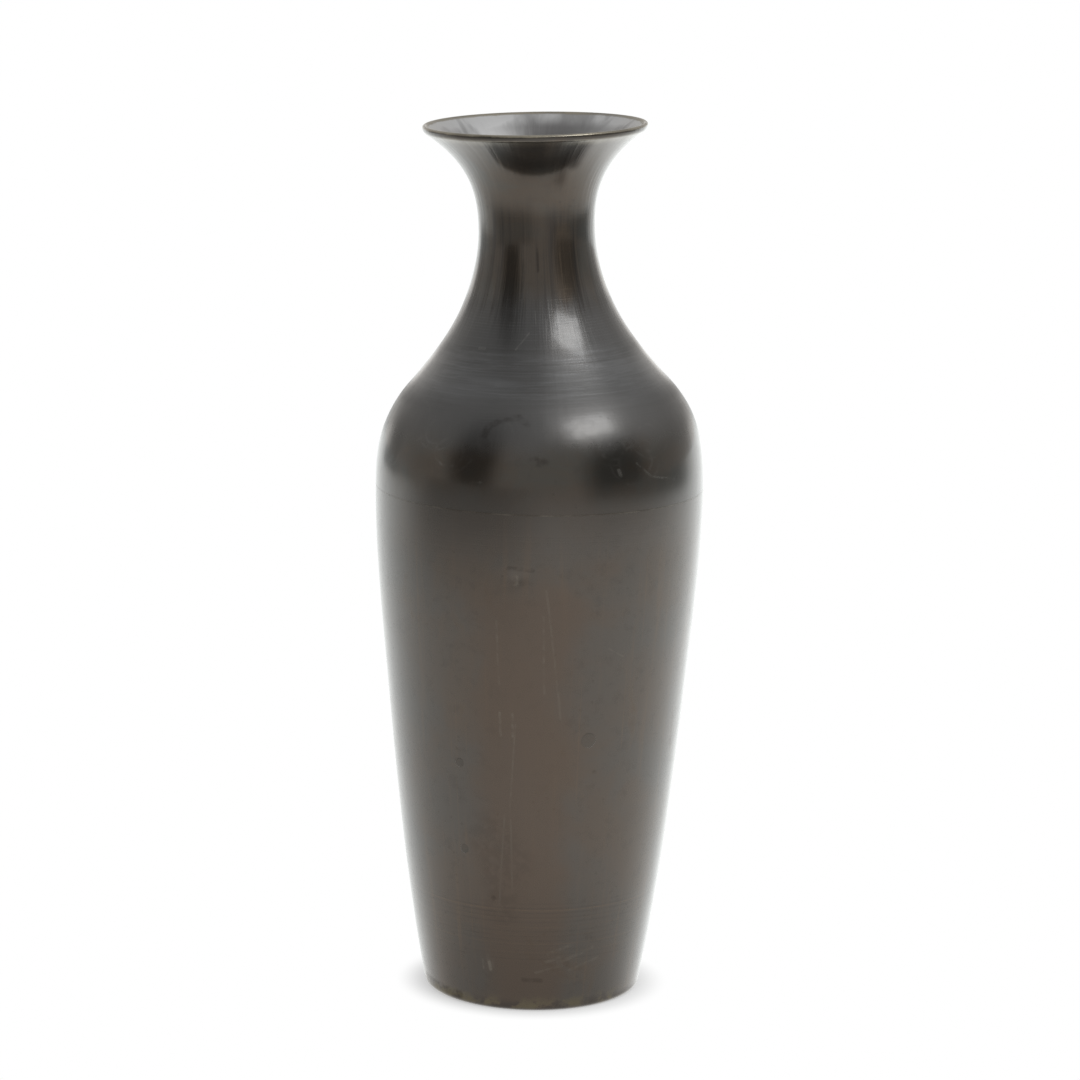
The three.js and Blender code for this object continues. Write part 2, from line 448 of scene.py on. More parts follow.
def makePatinaGroup():
    n, given, made = newTree("bronzePatina", "ShaderNodeTree", {
        "Turned": "Vector", "Brown": (0.07, 0.05, 0.034, 1), "Grey": (0.07, 0.062, 0.052, 1),
        "Dark": (0.03, 0.022, 0.016, 1), "Warm": (0.12, 0.08, 0.045, 1),
        "Cloud Scale": 28.0, "Grain": 0.4, "Streaks": 0.3, "Specks": 0.5, "Gloss": 0.2, "Gloss Spread": 0.1,
    }, {"Colour": "Color", "Roughness": "Float", "Coat": "Float", "Height": "Float"})
    spot, turned = n.objectPlace(), given["Turned"]

    cloud = n.noise(spot, given["Cloud Scale"], 5, 0.6, 0.6)
    grain = n.noise(spot, 210, 6, 0.68)
    smudge = n.streaks(spot, (70, 70, 38.5), 4, 0.6, 0.8)
    colour = n.blend(n.spread(cloud, 0.4, 0.62), given["Brown"], given["Grey"])

    # upright wiping streaks, wide and narrow, and fine rings from turning and polishing
    wide = n.streaks(turned, (11, 11, 10))
    thin = n.streaks(turned, (62, 62, 17))
    wipe = n.plus(n.spread(wide, 0.55, 0.7, 0, 0.5), n.spread(thin, 0.6, 0.75, 0, 0.7))
    rings = n.streaks(turned, (1.6, 1.6, 1150))

    # small pits and specks, gathered in places
    cells = n.fill(n.place("ShaderNodeTexVoronoi", feature="F1"), {"Vector": spot, "Scale": 340})
    gather = n.spread(n.noise(spot, 55, 3, 0.5), 0.5, 0.66)
    pits = n.times(n.spread(cells["Distance"], 0.1, 0.24, 1, 0), gather, given["Specks"])
    colour = n.layers(
        colour,
        (n.spread(grain, 0.5, 0.72), given["Grain"], given["Dark"]),
        (n.spread(smudge, 0.55, 0.75), 0.25, given["Warm"]),
        (wipe, given["Streaks"], given["Warm"]),
        (n.spread(rings, 0.5, 0.75, 0, 0.16), 1, given["Grey"]),
        (pits, 1, given["Dark"]))

    rough = n.addShares(
        given["Gloss"],
        (n.minus(smudge, 0.5), given["Gloss Spread"]),
        (n.spread(grain, 0.45, 0.75), n.times(given["Gloss Spread"], 0.6)))
    worn = n.plus(n.times(pits, 0.7), n.spread(smudge, 0.62, 0.8, 0, 0.3))
    bump = n.addShares(n.times(grain, 0.45), (rings, 0.3), (n.noise(spot, 95, 2, 0.5), 0.9), (pits, -1.2))
    for label, value in (
            ("Colour", colour), ("Roughness", n.plus(rough, n.times(pits, 0.25), clamp=True)),
            ("Coat", n.minus(1.0, worn, clamp=True)), ("Height", bump)):
        n.wire(value, made[label])
    return n.tree


def makeLineGroup():
    # turning lines between two heights, broken here and there round the vase
    n, given, made = newTree("turningLines", "ShaderNodeTree", {
        "Turned": "Vector", "Low": 0.0, "High": 0.1, "Pitch": 0.002, "Width": 0.0005, "Fade": 0.004, "Seed": 0.0,
    }, {"Lines": "Float", "Band": "Float"})
    low, high, fade = given["Low"], given["High"], given["Fade"]
    sine, cosine, height = n.separate(given["Turned"])
    drift = n.noise(n.combine(n.times(sine, 1.4), n.times(cosine, 1.4), given["Seed"]), 1, 2, 0.5)
    wavy = n.plus(height, n.swing(drift, 0.0005))
    dip, lot, number = grooveRow(n, wavy, low, given["Pitch"], given["Width"], given["Seed"])
    broken = n.noise(n.combine(n.times(sine, 5), n.times(cosine, 5), number), 1, 3, 0.6)
    strength = n.times(n.plus(n.times(lot, 0.8), 0.2), n.spread(broken, 0.35, 0.6, 0.25, 1.0))
    band = n.between(height, low, n.plus(low, fade), n.minus(high, fade), high)
    n.wire(n.times(dip, strength, band), made["Lines"])
    n.wire(band, made["Band"])
    return n.tree


def makeMarkGroup():
    # a straight scratch or a smear between two places on the skin, given by angle and height
    n, given, made = newTree("skinMark", "ShaderNodeTree", {
        "Turned": "Vector", "Girth": 0.05, "Angle A": 0.0, "Height A": 0.0, "Angle B": 0.0, "Height B": 0.0,
        "Width": 0.0005, "Ragged": 0.0, "Broken": 1.0,
    }, {"Mark": "Float"})
    girth, ragged = given["Girth"], given["Ragged"]
    sine, cosine, height = n.separate(given["Turned"])
    x = n.plus(n.times(n.calc("ARCTAN2", sine, cosine), girth), ragged)
    ax, ay = n.times(n.calc("RADIANS", given["Angle A"]), girth), given["Height A"]
    dx = n.minus(n.times(n.calc("RADIANS", given["Angle B"]), girth), ax)
    dy = n.minus(given["Height B"], ay)
    px, py = n.minus(x, ax), n.minus(n.plus(height, ragged), ay)
    long = n.plus(n.times(dx, dx), n.times(dy, dy), 1e-9)
    along = n.over(n.plus(n.times(px, dx), n.times(py, dy)), long, clamp=True)
    gap = n.length(n.minus(px, n.times(along, dx)), n.minus(py, n.times(along, dy)))
    line = n.spread(gap, n.times(given["Width"], 0.3), given["Width"], 1.0, 0.0)
    n.wire(n.times(line, given["Broken"]), made["Mark"])
    return n.tree


def makeSwirlGroup():
    # a faint double ring that a turn of the polishing pad leaves round one place on the skin
    n, given, made = newTree("polishSwirl", "ShaderNodeTree", {
        "Turned": "Vector", "Girth": 0.05, "Angle": 0.0, "Height": 0.0, "Size": 0.004, "Ragged": 0.0,
    }, {"Swirl": "Float"})
    sine, cosine, height = n.separate(given["Turned"])
    x = n.times(n.minus(n.calc("ARCTAN2", sine, cosine), n.calc("RADIANS", given["Angle"])), given["Girth"])
    y = n.times(n.minus(height, given["Height"]), 1.25)
    away = n.plus(n.length(x, y), given["Ragged"])
    inner = n.spread(n.calc("ABSOLUTE", n.minus(away, given["Size"])), 0.0002, 0.0008, 1.0, 0.0)
    outer = n.spread(n.calc("ABSOLUTE", n.minus(away, n.times(given["Size"], 1.5))), 0.0001, 0.0006, 0.6, 0.0)
    n.wire(n.most(inner, outer), made["Swirl"])
    return n.tree


patinaGroup = makePatinaGroup()
swirlGroup = makeSwirlGroup()
lineGroup = makeLineGroup()
markGroup = makeMarkGroup()
markParts = ("Angle A", "Height A", "Angle B", "Height B", "Width")
rowParts = ("Low", "High", "Pitch", "Width", "Fade", "Seed")


def startMaterial(name, **constants):
    material = bpy.data.materials.new(name)
    material.use_nodes = True
    shader = material.node_tree.nodes["Principled BSDF"]
    for label, value in constants.items():
        shader.inputs[label.replace("_", " ")].default_value = value
    return material, nodeSheet(material.node_tree), shader


def markSum(n, turned, marks, girth, ragged, broken):
    # several marks in one mask: each mark has two places, a width and a strength
    total = 0.0
    for *mark, strength in marks:
        total = n.most(total, n.times(n.group(markGroup, {
            "Turned": turned, "Girth": girth, "Ragged": ragged, "Broken": broken,
            **dict(zip(markParts, mark))})["Mark"], strength))
    return total


def castingSkin(n, fin):
    # what both castings start from: the place, the patina, rows of turning lines, pale marks and dark ones
    turned, spot = n.attribute("turned", "Vector"), n.objectPlace()
    patina = n.group(patinaGroup, {"Turned": turned, **fin})
    rows = [n.group(lineGroup, {"Turned": turned, **dict(zip(rowParts, row))}) for row in fin["rows"]]
    ragged = n.swing(n.noise(spot, 420, 2, 0.6), 0.0004)
    broken = n.spread(n.noise(spot, 300, 2, 0.6), 0.36, 0.6, 0.15, 1.0)
    light, dark = (markSum(n, turned, fin[k], fin["girth"], ragged, broken) for k in ("lightMarks", "darkMarks"))
    return turned, spot, n.attribute("skin", "Fac"), patina, rows, light, dark, ragged


# Finish of the lower casting

lowerFinish = {
    "Brown": (0.069, 0.054, 0.041, 1),
    "Grey": (0.063, 0.056, 0.048, 1),
    "Dark": (0.034, 0.026, 0.020, 1),
    "Warm": (0.108, 0.074, 0.046, 1),
    "Cloud Scale": 26.0,
    "Grain": 0.3,
    "Streaks": 0.6,
    "Specks": 0.16,
    "Gloss": 0.25,
    "Gloss Spread": 0.12,
    # colour of the painted reflection at the front
    "front": (0.070, 0.048, 0.032, 1),
    "joint": (0.077, 0.070, 0.063, 1),   # both castings by the braze
    "pale": (0.150, 0.135, 0.110, 1),
    "olive": (0.105, 0.088, 0.048, 1),   # where the foot rubs
    "inside": (0.035, 0.030, 0.024, 1),
    "insidePale": (0.075, 0.070, 0.055, 1),
    "coatRoughness": 0.16,
    "bump": 0.000028,
    "girth": 0.047,
    # rows of turning lines: lowest and highest height, pitch, width, length of the fade at the ends, seed
    "rows": [
        (0.0175, 0.0405, 0.0031, 0.0007, 0.003, 5.0),   # warm ones above the foot
        (0.0170, 0.0420, 0.0017, 0.0009, 0.004, 11.0),  # dark ones between them
        (0.155, 0.1762, 0.0019, 0.0004, 0.01, 9.0),     # fine ones under the braze
    ],
    # angle and height of both ends, width, strength
    "lightMarks": [
        (-21.5, 0.0195, -20.5, 0.0150, 0.0011, 0.60), (-19.2, 0.0185, -19.0, 0.0160, 0.0007, 0.40),
        # the mark at -8 degrees, 0.1552 high, is a painted highlight in the dent there
        (-24.5, 0.0180, -24.3, 0.0150, 0.0006, 0.30), (-8.0, 0.1552, -7.6, 0.1530, 0.0014, 0.55),
        (-15.0, 0.0390, -12.0, 0.0720, 0.0005, 0.20), (-10.0, 0.0720, -7.5, 0.1050, 0.0004, 0.20),
        (3.0, 0.1510, 9.5, 0.1060, 0.0005, 0.16), (-14.5, 0.1400, -13.8, 0.1180, 0.0005, 0.20),
        (-13.6, 0.1080, -13.4, 0.1000, 0.0006, 0.32), (-8.8, 0.1080, -8.6, 0.1000, 0.0006, 0.32),
        (2.2, 0.1420, 3.0, 0.1150, 0.0005, 0.18), (-9.5, 0.0700, -9.0, 0.0450, 0.0005, 0.20),
        (8.0, 0.0215, 19.0, 0.0245, 0.0009, 0.26), (5.0, 0.0180, 14.0, 0.0202, 0.0009, 0.22),
        (13.0, 0.0182, 30.0, 0.0226, 0.0010, 0.24), (2.0, 0.0146, 15.0, 0.0170, 0.0007, 0.22),
        # the two short marks at 20.5 and 23.4 degrees are painted highlights on the rim of the right core plug
        (19.0, 0.0150, 34.0, 0.0186, 0.0009, 0.20), (20.5, 0.0964, 20.7, 0.0962, 0.0009, 0.40),
        (23.4, 0.0988, 23.5, 0.0975, 0.0006, 0.30), (27.0, 0.1300, 33.0, 0.1268, 0.0004, 0.18),
    ],
    "darkMarks": [
        # the first two dark marks are painted shade along the upper edge of the dent at -7.2 degrees, 0.155 high
        (-12.0, 0.1560, -10.0, 0.1585, 0.0011, 0.35), (-10.0, 0.1585, -2.0, 0.1580, 0.0011, 0.40),
        (-17.6, 0.0414, -17.4, 0.0410, 0.0015, 0.60), (-4.0, 0.0118, 5.0, 0.0116, 0.0012, 0.35),
        (1.0, 0.0118, 4.6, 0.0116, 0.0010, 0.35), (-19.0, 0.0640, -10.0, 0.0540, 0.0120, 0.20),
        (-16.0, 0.0560, -13.0, 0.0380, 0.0090, 0.20), (-74.0, 0.0040, -40.0, 0.0030, 0.0022, 0.75),
        (24.0, 0.0870, 24.4, 0.0868, 0.0009, 0.45),
    ],
    # where a mask comes in: from and to height, or turn towards the front
    "rubHeight": (0.0016, 0.0064),
    "dirtHeight": (0.0014, 0.0052),
    "edgeDirt": (0.0006, 0.0016),
    "frontTurn": (0.91, 0.99),
    "frontHeight": (0.158, 0.144),
    "jointHeight": (0.154, 0.172),
    "glossHeight": (0.160, 0.176),
}


def lowerMaterial():
    fin = lowerFinish
    material, n, shader = startMaterial(
        "lowerBronze", Metallic=1.0, Coat_Roughness=fin["coatRoughness"], Coat_IOR=1.5)
    turned, spot, skin, patina, rows, light, dark, _ = castingSkin(n, fin)
    sine, cosine, height = n.separate(turned)
    lines, between, fine = (row["Lines"] for row in rows)
    # the foot's edge is rubbed to olive in patches, over a thin dark line
    coarse = n.noise(spot, 190, 4, 0.65)
    patches = n.streaks(turned, (5, 5, 160), 4, 0.65)
    edge = n.plus(height, n.swing(coarse, 0.004))
    rub = n.times(n.spread(edge, *fin["rubHeight"], 0.9, 0.0), n.spread(patches, 0.44, 0.60))
    dirt = n.times(n.spread(edge, *fin["dirtHeight"], 0.8, 0.0), n.spread(patches, 0.54, 0.40))
    dirt = n.plus(dirt, n.spread(height, *fin["edgeDirt"], 0.6, 0.0), clamp=True)
    # the casting is browner at the front and greyer round the sides: the browner front, turned towards the camera, is
    # a painted reflection
    cheek = n.plus(n.times(sine, -0.07), cosine, n.swing(n.noise(spot, 45, 4, 0.6), 0.12))
    front = n.times(n.spread(cheek, *fin["frontTurn"]), n.spread(height, *fin["frontHeight"]))
    joint = n.spread(n.plus(height, n.swing(coarse, 0.010)), *fin["jointHeight"], 0, 0.6)
    colour = n.layers(
        patina["Colour"],
        (front, 0.8, fin["front"]), (joint, 1, fin["joint"]), (light, 1, fin["pale"]), (lines, 0.5, fin["Warm"]),
        (between, 0.4, fin["Dark"]), (dark, 1, fin["Dark"]), (rub, 1, fin["olive"]), (dirt, 1, fin["Dark"]))
    # the inside is dull and dark
    inner = n.blend(n.noise(spot, 120, 5, 0.6), fin["inside"], fin["insidePale"])
    rough = n.plus(patina["Roughness"], n.times(light, 0.12))
    rough = n.minus(rough, n.spread(height, *fin["glossHeight"], 0.0, 0.02))
    rough = n.plus(rough, n.times(n.minus(1.0, skin), 0.35))
    coat = n.times(patina["Coat"], skin, n.minus(1.0, n.times(dark, 0.6)))
    bump = n.addShares(patina["Height"], (lines, -0.5), (fine, -0.25), (n.plus(light, dark), -0.8))
    n.dress(shader, fin["bump"], bump, {
        "Base Color": n.blend(skin, inner, colour), "Roughness": rough, "Coat Weight": coat})
    return material


# Finish of the upper casting

upperFinish = {
    "Brown": (0.060, 0.046, 0.033, 1),
    "Grey": (0.055, 0.052, 0.044, 1),
    "Dark": (0.030, 0.024, 0.020, 1),
    "Warm": (0.098, 0.075, 0.054, 1),
    "Cloud Scale": 34.0,
    "Grain": 0.25,
    "Streaks": 0.2,
    "Specks": 0.2,
    "Gloss": 0.20,
    "Gloss Spread": 0.10,
    "pale": (0.150, 0.145, 0.135, 1),
    "band": (0.068, 0.067, 0.066, 1),
    "bandLine": (0.112, 0.111, 0.111, 1),
    "shoulder": (0.115, 0.112, 0.109, 1),
    "joint": lowerFinish["joint"],
    "stain": (0.118, 0.090, 0.064, 1),
    "worn": (0.31, 0.28, 0.22, 1),       # paler bronze showing at the lip
    "inside": (0.56, 0.555, 0.55, 1),
    "insideMiddle": (0.190, 0.185, 0.182, 1),
    # deep in the throat: darker metal with painted shade
    "insideDark": (0.105, 0.100, 0.097, 1),
    "coatRoughness": 0.13,
    "bump": 0.000026,
    "girth": 0.038,
    "rows": [
        (0.2065, 0.2295, 0.0021, 0.0008, 0.003, 2.0),   # pale ones in the band
        (0.2055, 0.2295, 0.0021, 0.0009, 0.004, 12.0),  # dark ones between them
        (0.1980, 0.2480, 0.0009, 0.0005, 0.010, 15.0),  # hair lines over the whole shoulder
        (0.2300, 0.2960, 0.0016, 0.0004, 0.02, 7.0),    # fine ones up the neck
    ],
    # angle, height and size of the rings that polishing left, and the girth that they are laid out on
    "swirls": [
        (-15, 0.2035, 0.0042), (-7, 0.2050, 0.0050), (27, 0.1975, 0.0045), (36, 0.1925, 0.0060),
        (44, 0.1990, 0.0052), (-34, 0.1960, 0.0058), (-55, 0.2050, 0.0060), (-41, 0.2020, 0.0050),
        (20, 0.2060, 0.0046), (-70, 0.1930, 0.0060), (92, 0.1950, 0.0050), (150, 0.1900, 0.0060),
        (-150, 0.1990, 0.0050),
    ],
    "swirlGirth": 0.050,
    "lightMarks": [
        (-6.0, 0.2330, -13.5, 0.2280, 0.0005, 0.5), (-38.5, 0.2277, -34.0, 0.2278, 0.0006, 0.45),
        (36.0, 0.1919, 42.5, 0.1870, 0.0005, 0.45), (42.5, 0.1870, 54.0, 0.1850, 0.0005, 0.45),
        (28.5, 0.1905, 29.0, 0.1885, 0.0007, 0.8), (-24.0, 0.1865, -20.5, 0.1868, 0.0005, 0.35),
        (-2.0, 0.2400, -1.0, 0.2350, 0.0004, 0.3),
    ],
    "darkMarks": [
        (-21.0, 0.2010, -20.0, 0.2045, 0.0014, 0.35), (-20.0, 0.2045, -15.0, 0.2072, 0.0014, 0.35),
        (-15.0, 0.2072, -8.0, 0.2080, 0.0014, 0.35), (-8.0, 0.2080, -4.5, 0.2056, 0.0012, 0.4),
        (-1.2, 0.1942, 0.8, 0.1940, 0.0024, 0.6), (0.4, 0.2612, 0.8, 0.2532, 0.0012, 0.7),
        (-14.0, 0.2430, -13.0, 0.2560, 0.0010, 0.4),
    ],
    "stainMark": (26.5, 0.2620, 24.5, 0.2490, 0.0085),
    # heights over which a mask comes in, and goes out again where there are four
    "rubbedHeight": (0.195, 0.208, 0.239, 0.249),
    "turnOverHeight": ((0.1925, 0.2020), (0.209, 0.217)),
    "neckFootHeight": (0.221, 0.226, 0.240, 0.246),
    "neckHeight": (0.234, 0.246, 0.268, 0.278),
    "jointHeight": (0.188, 0.178),
    "rippleHeight": (0.222, 0.242),
    "underLip": (0.2976, 0.2984, 0.2991, 0.2997),
    "lipWear": ((0.2952, 0.2974), (0.2976, 0.2984)),
    "lipTop": (0.2990, 0.2996),
    "throatHeight": (0.2880, 0.2955),
    "rimHeight": (0.2950, 0.2992),
    # painted reflection under the lip, in two steps: height, shift to the right, and turn towards the front
    "lipShape": [((0.2855, 0.2890), 0.12, (0.875, 0.935)), ((0.2792, 0.2840), 0.08, (0.920, 0.972))],
    "lipShapeTop": (0.2966, 0.2976),
    "lipShapeTurn": (0.15, 0.42, 0.10, 0.75),
}


def upperMaterial():
    fin = upperFinish
    material, n, shader = startMaterial("upperBronze", Coat_Roughness=fin["coatRoughness"], Coat_IOR=1.5)
    turned, spot, skin, patina, rows, light, dark, ragged = castingSkin(n, fin)
    sine, cosine, height = n.separate(turned)
    lines, troughs, hair, fine = (row["Lines"] for row in rows)
    band = rows[0]["Band"]
    swirl = 0.0
    waver = n.swing(n.noise(spot, 130, 3, 0.6), 0.0022)
    for angle, level, size in fin["swirls"]:
        swirl = n.most(swirl, n.group(swirlGroup, {
            "Turned": turned, "Girth": fin["swirlGirth"], "Angle": angle, "Height": level, "Size": size,
            "Ragged": waver})["Swirl"])
    swirl = n.times(swirl, n.spread(n.noise(spot, 150, 3, 0.6), 0.46, 0.66))

    # from the shoulder to the foot of the neck the metal is greyer and duller, most in the band of turning lines
    cloud = n.swing(n.noise(spot, 90, 4, 0.6), 0.010)
    loose = n.plus(height, n.times(cloud, 0.8))
    rubbed = n.between(loose, *fin["rubbedHeight"])
    waves = n.streaks(turned, (1.2, 1.2, 260))
    strands = n.streaks(turned, (2.4, 2.4, 900), roughness=0.65)
    grain = n.plus(n.spread(waves, 0.42, 0.66, 0, 0.45), n.spread(strands, 0.5, 0.72, 0, 0.5))
    # the wax is thin and the metal paler where the shoulder turns, and a little so at the foot of the neck
    comes, goes = fin["turnOverHeight"]
    turnOver = n.times(n.spread(loose, *comes), n.spread(height, *goes, 1.0, 0.0))
    neckFoot = n.between(height, *fin["neckFootHeight"])
    # upright stains down the neck
    neck = n.between(height, *fin["neckHeight"])
    stain = n.times(n.spread(n.streaks(turned, (15, 15, 14)), 0.5, 0.64, 0, 0.7), neck)
    hairline = n.times(n.spread(n.streaks(turned, (64, 64, 20)), 0.56, 0.7, 0, 0.5), neck)
    brownStain = n.group(markGroup, {
        "Turned": turned, "Girth": fin["girth"], "Ragged": ragged, **dict(zip(markParts, fin["stainMark"]))})["Mark"]
    # painted reflection under the front of the lip, in two steps: the vase's own shoulder seen in the flare, painted
    # as darker bronze, darkest to the right
    under = n.plus(height, n.times(cloud, 0.3))
    wide, small = (n.times(n.spread(under, *up), n.spread(n.plus(cosine, n.times(sine, aside)), *turn))
                   for up, aside, turn in fin["lipShape"])
    lipReflectionMask = n.times(n.most(wide, n.times(small, 0.9)), n.spread(height, *fin["lipShapeTop"], 1.0, 0.0),
                     n.spread(sine, *fin["lipShapeTurn"]))
    joint = n.spread(n.plus(height, n.times(cloud, 0.5)), *fin["jointHeight"], 0.0, 0.6)
    # worn bronze on top of the lip and a little way down its outside, with a darker line between
    patchy = n.spread(n.streaks(turned, (2.2, 2.2, 60)), 0.3, 0.6, 0.5, 1.0)
    edge = n.plus(height, n.swing(n.noise(spot, 230, 4, 0.65), 0.0009))
    comes, goes = fin["lipWear"]
    wear = n.times(n.spread(edge, *comes, 0.0, 0.45), n.spread(edge, *goes, 1.0, 0.0), patchy)
    top = n.times(n.spread(edge, *fin["lipTop"]), patchy)
    colour = n.layers(
        patina["Colour"],
        (rubbed, 0.85, fin["band"]), (n.times(grain, band), 1, fin["bandLine"]), (troughs, 0.3, fin["Dark"]),
        (hair, 0.4, fin["bandLine"]), (lines, 0.45, fin["bandLine"]), (swirl, 0.42, fin["pale"]),
        (turnOver, 0.8, fin["shoulder"]), (neckFoot, 0.18, fin["shoulder"]), (stain, 1, fin["Dark"]),
        (hairline, 1, fin["Warm"]), (lipReflectionMask, 1, fin["Dark"]), (joint, 1, fin["joint"]),
        (brownStain, 0.8, fin["stain"]), (light, 1, fin["pale"]), (dark, 1, fin["Dark"]),
        (n.between(edge, *fin["underLip"]), 0.5, fin["Dark"]), (wear, 1, fin["worn"]))
    # inside, a chalky film is palest at the rim, with strands of it running down into the throat; the paler left wall
    # is painted light from the softbox, the right is a little paler too, and the darker throat is partly darker metal
    # and partly painted shade
    inner = n.blend(n.spread(height, *fin["throatHeight"]), fin["insideDark"], fin["insideMiddle"])
    strand = n.streaks(turned, (2.8, 2.8, 70), 4, 0.55, 0.8)
    # painted light: the left inside wall, which faces the softbox, is painted paler
    paintedLightLeft, rightSide = n.spread(sine, 0.15, -0.75, 0, 1.1), n.spread(sine, 0.3, 0.9, 0, 0.5)
    pale = n.plus(n.spread(height, *fin["rimHeight"]), paintedLightLeft, rightSide)
    pale = n.times(pale, n.spread(strand, 0.34, 0.66, 0.35, 1.0), clamp=True)
    colour = n.blend(skin, n.blend(pale, inner, fin["inside"]), colour)
    # the metal is dullest where the shoulder turns, and a little dull at the foot of the neck
    rough = n.addShares(
        patina["Roughness"], (band, 0.06), (rubbed, 0.05), (turnOver, 0.08), (neckFoot, 0.06), (top, 0.14),
        (light, 0.15), (n.minus(1.0, skin), 0.20))
    rough = n.plus(rough, n.spread(height, 0.190, 0.178, 0.0, 0.03))
    thin = n.plus(n.times(turnOver, 0.85), n.times(neckFoot, 0.4))
    # the coat is taken away under the lip's painted reflection as well, so that it stays dark
    spoilt = n.most(n.times(top, 0.7), lipReflectionMask, n.times(dark, 0.5), thin)
    bump = n.addShares(patina["Height"], (lines, -0.25), (hair, -0.35), (fine, -0.3), (n.plus(light, dark), -0.7))
    upright, flutter = n.streaks(turned, (9, 9, 22), 3, 0.55), n.streaks(turned, (24, 24, 60))
    ripple = n.plus(n.times(upright, 7.0), n.times(flutter, 3.0))
    bump = n.plus(bump, n.times(ripple, n.spread(height, *fin["rippleHeight"], 0.25, 1.0)))
    n.dress(shader, fin["bump"], bump, {
        "Base Color": n.blend(top, colour, fin["worn"]),
        "Roughness": rough,
        "Coat Weight": n.times(patina["Coat"], skin, n.minus(1.0, spoilt)),
        # the inside has a chalky film left by water
        "Metallic": n.spread(skin, 0, 1, 0.92, 1.0, smooth=False),
    })
    return material


# Lower casting

lowerShape = {
    "step": 0.0011,
    "innerStep": 0.0045,
    "lineBand": (0.0175, 0.0410, 0.00035),
    "Line Depth": 0.000006,
    "Line Pitch": 0.0031,
    "Line Width": 0.0009,
    "Line Low": 0.0175,
    "Line High": 0.0405,
    # angle, height, reach round and up, depth
    "dents": [
        (-7.2, 0.1550, 0.0050, 0.0028, 0.00016),
        (-9.5, 0.1520, 0.0026, 0.0020, 0.00005),
        (40.0, 0.0700, 0.0060, 0.0050, 0.00006),
        (-118.0, 0.1180, 0.0050, 0.0036, 0.00010),
        (152.0, 0.0620, 0.0045, 0.0060, 0.00008),
    ],
    "dentFall": 2.2,    # how steeply a dent fades towards its edge
    "dentEdge": 4,      # where it ends: the square of two reaches
    "skinDepth": 0.0012,    # what lies no deeper than this counts as the outside skin
    "skinHeights": (0.0022, 0.176),
}


def lowerProfile():
    footRise, footRadius, _ = stations["foot"]
    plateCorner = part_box("base_plate")[1]
    bore, plateTop = plateCorner.x + castings["plateGap"], plateCorner.z
    ledge, flat = bore - castings["ledgeWidth"], footRadius - footRise
    bottom, breakEdge, soft = castings["brazeLow"], castings["edgeBreak"], castings["softEdge"]
    socket, floor = castings["socketRadius"], castings["socketFloor"]
    return [
        (bore, soft, 0), (bore + soft, 0, 0), (flat - castings["standingFlat"], 0, 0),
        *corner((flat, footRise), footRise, -90, 0),
        *onSkin(heights(footRise, bottom - breakEdge, lowerShape["step"], lowerShape["lineBand"])[1:]),
        (stations["seam"][1] - breakEdge, bottom, 1), (socket, bottom, 0), (socket, floor, 0),
        *onInside(heights(castings["insideStart"], floor, lowerShape["innerStep"])),
        (ledge, plateTop + castings["ledgeHeight"], 0), (ledge, plateTop, 0), (bore, plateTop, 0), (bore, soft, 0),
    ]


def pressDents(mesh):
    # pushes the skin in over soft ovals, most in the middle
    co = coordinates(mesh)
    radius, angle = axisDistance(co), np.arctan2(co[:, 0], -co[:, 1])
    outside, push = np.zeros(len(co)), np.zeros(len(co))
    mesh.attributes["skin"].data.foreach_get("value", outside)
    for where, height, reachRound, reachUp, depth in lowerShape["dents"]:
        turn = (angle - math.radians(where) + math.pi) % (2 * math.pi) - math.pi
        apart = (turn * radius / reachRound) ** 2 + ((co[:, 2] - height) / reachUp) ** 2
        push += depth * np.exp(-lowerShape["dentFall"] * apart) * (apart < lowerShape["dentEdge"])
    drawIn(mesh, 1 - push * outside / radius)


# Core plugs: the face stands "proud" of the skin, and "blend" is 1 where the metal is as pale as the casting

plugParts = ("piece", "height", "angle", "diameter", "proud", "blend")
plugs = {node: dict(zip(plugParts, values)) for node, values in {
    "core_plug_left_high": ("plugLeftHigh", 0.0887, -31.0, 0.0032, -0.00001, 0.4),
    "core_plug_left_low": ("plugLeftLow", 0.0580, -30.6, 0.0032, -0.00001, 0.4),
    "core_plug_right": ("plugRight", 0.0983, 20.8, 0.0052, 0.0, 0.9),
}.items()}
plugFit = {
    "gap": 0.00001,
    "drill": (0.002, -0.006),   # how far outside and inside the skin the hole is cut
    "sides": 72,
    "skinRadius": 0.049,        # of the casting near the plugs, for the curve of their faces
    "length": 0.0028,
    "backEdge": 0.0001,
    "faceEdge": (0.00001, 0.00004),
}


def plugFrame(plug):
    # the middle of a plug's face on the skin, and its right, up and outward directions
    radius, slope = outlineAt(plug["height"])
    turn = math.radians(plug["angle"])
    flat = Vector((math.sin(turn), -math.cos(turn), 0))
    out = (flat + Vector((0, 0, -slope))).normalized()
    right = Vector((math.cos(turn), math.sin(turn), 0))
    middle = flat * radius + Vector((0, 0, plug["height"])) - out * plug.get("sunk", 0)
    return middle, right, right.cross(out).normalized(), out


def sinkOfSkin(thing, plug):
    # how far the uneven skin lies inside the even outline at a plug
    origin, _, _, out = plugFrame(plug)
    return (origin - thing.closest_point_on_mesh(origin)[1]).dot(out)


